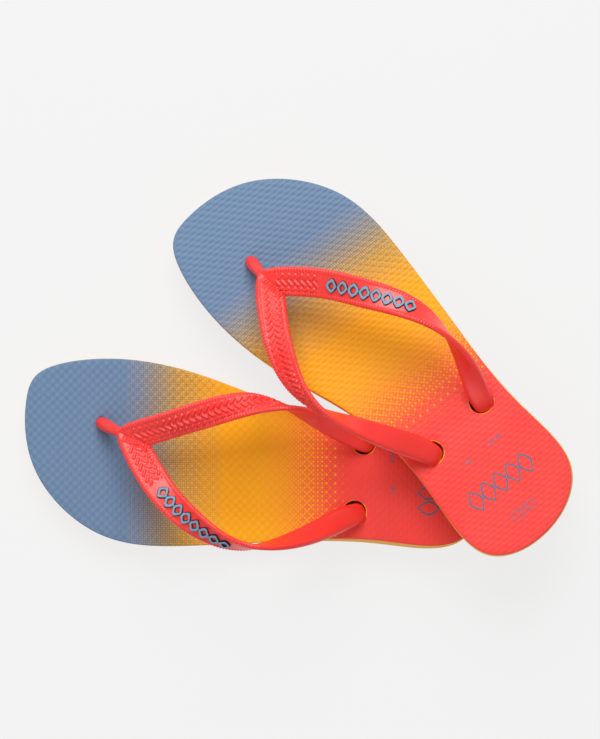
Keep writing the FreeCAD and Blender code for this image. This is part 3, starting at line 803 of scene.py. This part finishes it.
def cell_order(nodes, along, across):
    """The order, 0 to 1, in which the print's cells are left bare, repeating every four cells; and the
    square of how far a place lies from its cell's middle, in cells."""
    bits, offsets = [], []
    for place in (along, across):
        cells = nodes.math("DIVIDE", nodes.math("ADD", place, 400 * PRINT_CELL), PRINT_CELL)
        number = nodes.math("FLOOR", cells)
        offsets.append(nodes.math("SUBTRACT", nodes.math("SUBTRACT", cells, number), 0.5))
        low = nodes.math("MODULO", number, 2.0)
        high = nodes.math("MODULO", nodes.math("FLOOR", nodes.math("DIVIDE", number, 2.0)), 2.0)
        bits.append((low, high))
    (low_x, high_x), (low_y, high_y) = bits
    order = nodes.math("MULTIPLY", nodes.math("MODULO", nodes.math("ADD", low_x, low_y), 2.0), 8.0)
    order = nodes.math("MULTIPLY_ADD", low_y, 4.0, order)
    unequal = nodes.math("MODULO", nodes.math("ADD", high_x, high_y), 2.0)
    order = nodes.math("MULTIPLY_ADD", unequal, 2.0, order)
    order = nodes.math("ADD", order, high_y)
    squares = [nodes.math("MULTIPLY", offset, offset) for offset in offsets]
    return nodes.math("MULTIPLY_ADD", order, 1 / 16, 1 / 32), nodes.math("ADD", *squares)


def print_screen(nodes, along, across):
    """The fine screen of the print: two crossed waves, one cell long, over a checker of two cells."""
    shifted = (nodes.math("SUBTRACT", place, PRINT_CELL / 2) for place in (along, across))
    checker = nodes.math("MULTIPLY", *(nodes.wave(place, 2 * PRINT_CELL) for place in shifted))
    screen = nodes.math("MULTIPLY", checker, 0.4)
    for place in (along, across):
        screen = nodes.math("MULTIPLY_ADD", nodes.wave(place, PRINT_CELL), -0.6, screen)
    return screen


def printed_top():
    """Yellow foam rubber with a two-colour dotted print and a fine raised grain."""
    nodes = Nodes("printed_footbed")
    place = nodes.add("ShaderNodeAttribute", attribute_name="print_place").outputs["Vector"]
    split = nodes.add("ShaderNodeSeparateXYZ")
    nodes.feed(split.inputs[0], place)
    along, across = split.outputs[0], split.outputs[1]
    share = nodes.math("DIVIDE", along, PRINT_SPAN)

    dense = nodes.ramp(share, ink_between_dots())
    partly = nodes.math("SQRT", nodes.math("MULTIPLY", dense, nodes.math("SUBTRACT", 1.0, dense)))
    screen = print_screen(nodes, along, across)
    dense = nodes.math("SUBTRACT", dense, nodes.math("MULTIPLY", partly, screen))
    dense = nodes.math("MINIMUM", nodes.math("MAXIMUM", dense, 0.0), 1.0)
    bare = nodes.ramp(share, [(place / PRINT_SPAN, amount) for place, amount in BARE_DOTS])
    order, off_middle = cell_order(nodes, along, across)
    is_dot = nodes.math("MULTIPLY", nodes.math("LESS_THAN", order, bare),
                        nodes.math("LESS_THAN", off_middle, DOT_REACH))
    ink = nodes.math("MULTIPLY", dense, nodes.math("SUBTRACT", 1.0, is_dot))

    late = nodes.add("ShaderNodeMapRange")
    for socket, value in zip(late.inputs, (along, LATE_FROM, LATE_TO, 0.0, 1.0)):
        nodes.feed(socket, value)
    toe_side = nodes.math("LESS_THAN", along, INK_SPLIT)
    ink_colour = nodes.mix(toe_side, CORAL, nodes.mix(late.outputs[0], BLUE, LATE_BLUE))
    cloud = nodes.noise(place, scale=0.035, detail=2)
    ink_colour = nodes.mix(nodes.math("MULTIPLY", cloud, 0.1), ink_colour, INK_HAZE)
    speckle = nodes.noise(place, scale=1.6, detail=4)
    yellow = nodes.mix(nodes.math("MULTIPLY", speckle, 0.3), YELLOW, DEEP_YELLOW)
    colour = nodes.mix(ink, yellow, ink_colour)

    rows, columns = (nodes.wave(way, EMBOSS_PITCH) for way in (along, across))
    grain = nodes.math("MULTIPLY", rows, nodes.math("MULTIPLY_ADD", rows, 1.3, columns))
    grain = nodes.math("MULTIPLY", grain, nodes.ramp(share, EMBOSS_WEAR))
    normal = nodes.bump(nodes.noise(place, scale=2.4, detail=4), distance=0.00006, strength=0.5)
    normal = nodes.bump(grain, distance=0.0002, strength=0.9, normal=normal)
    roughness = nodes.math("MULTIPLY_ADD", nodes.noise(place, scale=0.9, detail=3), 0.16, 0.44)
    return nodes.finish(colour, roughness, normal, specular=0.25)


def yellow_rubber():
    """Matt foam rubber, cut at the sides and moulded below."""
    nodes = Nodes("yellow_foam_rubber")
    place = nodes.add("ShaderNodeTexCoord").outputs["Object"]
    speckle = nodes.noise(place, scale=900, detail=5)
    cloud = nodes.noise(place, scale=35, detail=2)
    colour = nodes.mix(nodes.math("MULTIPLY", speckle, 0.35), FOAM_YELLOW, FOAM_DEEP)
    colour = nodes.mix(nodes.math("MULTIPLY", cloud, 0.18), colour, FOAM_PALE)
    cells = nodes.add("ShaderNodeTexVoronoi")
    nodes.feed(cells.inputs["Vector"], place)
    cells.inputs["Scale"].default_value = 1400
    normal = nodes.bump(cells.outputs["Distance"], distance=0.00012, strength=0.35)
    unevenness = nodes.noise(place, scale=260, detail=4)
    normal = nodes.bump(unevenness, distance=0.00015, strength=0.3, normal=normal)
    roughness = nodes.math("MULTIPLY_ADD", speckle, 0.2, 0.5)
    return nodes.finish(colour, roughness, normal, specular=0.3)


def strap_rubber():
    """Smooth moulded coral rubber with a soft sheen and fine mould marks."""
    nodes = Nodes("coral_strap_rubber")
    place = nodes.add("ShaderNodeTexCoord").outputs["Object"]
    cloud = nodes.noise(place, scale=45, detail=3)
    fine = nodes.noise(place, scale=1500, detail=4)
    colour = nodes.mix(nodes.math("MULTIPLY", cloud, 0.3), STRAP_RED, STRAP_DEEP)
    colour = nodes.mix(nodes.math("MULTIPLY", fine, 0.12), colour, STRAP_PALE)
    normal = nodes.bump(fine, distance=0.00004, strength=0.5)
    unevenness = nodes.noise(place, scale=180, detail=2)
    normal = nodes.bump(unevenness, distance=0.00012, strength=0.25, normal=normal)
    roughness = nodes.math("MULTIPLY_ADD", nodes.noise(place, scale=220, detail=3), 0.14, 0.3)
    nodes.shader.inputs["Subsurface Weight"].default_value = 0.06
    nodes.shader.inputs["Subsurface Radius"].default_value = (0.004, 0.0012, 0.0008)
    return nodes.finish(colour, roughness, normal, specular=0.75)


def speckled(name, main, deep):
    """A plain coloured rubber or ink with a fine speckle."""
    nodes = Nodes(name)
    place = nodes.add("ShaderNodeTexCoord").outputs["Object"]
    fine = nodes.noise(place, scale=1300, detail=4)
    colour = nodes.mix(nodes.math("MULTIPLY", fine, 0.4), main, deep)
    normal = nodes.bump(fine, distance=0.00005, strength=0.5)
    roughness = nodes.math("MULTIPLY_ADD", fine, 0.2, 0.4)
    return nodes.finish(colour, roughness, normal, specular=0.4)


# ---------------------------------------------------------------- the pair

foam = yellow_rubber()
footbed_materials = [printed_top(), foam]
coral = strap_rubber()
# The lozenges' tops take the blue-grey rubber. Their sides take a dark copy of it, which is painted shade.
motif_materials = [speckled("blue_grey_rubber", MOTIF_PALE, MOTIF_PALE_DEEP),
                   speckled("blue_grey_painted_shade", MOTIF_PAINTED_SHADE, MOTIF_PAINTED_SHADE_DEEP)]
heel_ink = speckled("heel_ink", HEEL_INK, HEEL_INK_DEEP)
for side in MIRROR:
    footbed(side, footbed_materials)
    strap(side, coral)
    motif(side, motif_materials)
    heel_print(side, heel_ink)
    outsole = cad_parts[side + "_outsole"]
    outsole.data.materials.clear()
    outsole.data.materials.append(foam)

# ---------------------------------------------------------------- floor, light and camera, in metres

PHOTO_TURN = math.radians(7.614)
RIGHT_WAY = Vector((math.cos(PHOTO_TURN), math.sin(PHOTO_TURN), 0))
UP_WAY = Vector((-math.sin(PHOTO_TURN), math.cos(PHOTO_TURN), 0))
VIEW_CENTRE = Vector((0.01666, 0.04944, 0))
VIEW_HEIGHT = 1.75
FOCAL_PIXELS, PHOTO_HEIGHT = 3163, 739
FLOOR_REACH, FLOOR_DROP = 3, 0.0003
FLOOR_TONE = linear(243, 243, 243)
FLOOR_PLAIN = 0.88                     # the rest of what is seen of the floor is lit and shaded
SKY_STRENGTH = 0.34


def add_floor():
    """A pale floor, lit for the object, and seen as a plain tone with a faint shadow."""
    mesh = bpy.data.meshes.new("floor")
    signs = ((-1, -1), (1, -1), (1, 1), (-1, 1))
    mesh.from_pydata([(x * FLOOR_REACH, y * FLOOR_REACH, -FLOOR_DROP) for x, y in signs], [], [(0, 1, 2, 3)])
    nodes = Nodes("pale_floor")
    nodes.tree.nodes.remove(nodes.shader)
    lit, plain = nodes.add("ShaderNodeBsdfDiffuse"), nodes.add("ShaderNodeEmission")
    nodes.feed(lit.inputs["Color"], (0.9, 0.9, 0.9, 1))
    nodes.feed(plain.inputs["Color"], FLOOR_TONE)
    ray = nodes.add("ShaderNodeLightPath").outputs
    is_seen = nodes.math("MAXIMUM", ray["Is Camera Ray"], ray["Is Glossy Ray"])
    is_seen = nodes.math("MAXIMUM", is_seen, ray["Is Transmission Ray"])
    shown, surface = nodes.add("ShaderNodeMixShader"), nodes.add("ShaderNodeMixShader")
    for node, values in ((shown, (FLOOR_PLAIN, lit.outputs[0], plain.outputs[0])),
                         (surface, (is_seen, lit.outputs[0], shown.outputs[0]))):
        for socket, value in zip(node.inputs, values):
            nodes.feed(socket, value)
    nodes.feed(nodes.tree.nodes["Material Output"].inputs["Surface"], surface.outputs[0])
    mesh.materials.append(nodes.material)
    floor = add_object("floor", mesh)


def add_light(name, place, size, energy):
    """A square soft light at a place right, up and above the view's centre, aimed at the centre."""
    data = bpy.data.lights.new(name, "AREA")
    data.shape = "SQUARE"
    data.size = size
    data.energy = energy
    lamp = add_object(name, data)
    lamp.location = VIEW_CENTRE + RIGHT_WAY * place[0] + UP_WAY * place[1] + Vector((0, 0, place[2]))
    lamp.rotation_mode = "QUATERNION"
    lamp.rotation_quaternion = (VIEW_CENTRE - lamp.location).to_track_quat("-Z", "Y")


def add_camera():
    """A camera straight above, turned as in the photograph."""
    data = bpy.data.cameras.new("camera")
    data.sensor_width = 36
    data.lens = FOCAL_PIXELS * data.sensor_width / PHOTO_HEIGHT
    data.clip_start, data.clip_end = 0.1, 20
    camera = add_object("camera", data)
    camera.matrix_world = Matrix((
        (RIGHT_WAY.x, UP_WAY.x, 0, VIEW_CENTRE.x),
        (RIGHT_WAY.y, UP_WAY.y, 0, VIEW_CENTRE.y),
        (0, 0, 1, VIEW_HEIGHT),
        (0, 0, 0, 1),
    ))
    bpy.context.scene.camera = camera


add_floor()
add_light("key", (-0.1, 1.2, 1.35), size=1.2, energy=29)
add_light("fill", (-0.4, -1.0, 1.3), size=1.4, energy=5)
world = bpy.data.worlds.new("studio")
world.use_nodes = True
world.node_tree.nodes["Background"].inputs["Color"].default_value = (1, 1, 1, 1)
world.node_tree.nodes["Background"].inputs["Strength"].default_value = SKY_STRENGTH
bpy.context.scene.world = world
bpy.context.scene.view_settings.view_transform = "Standard"
add_camera()
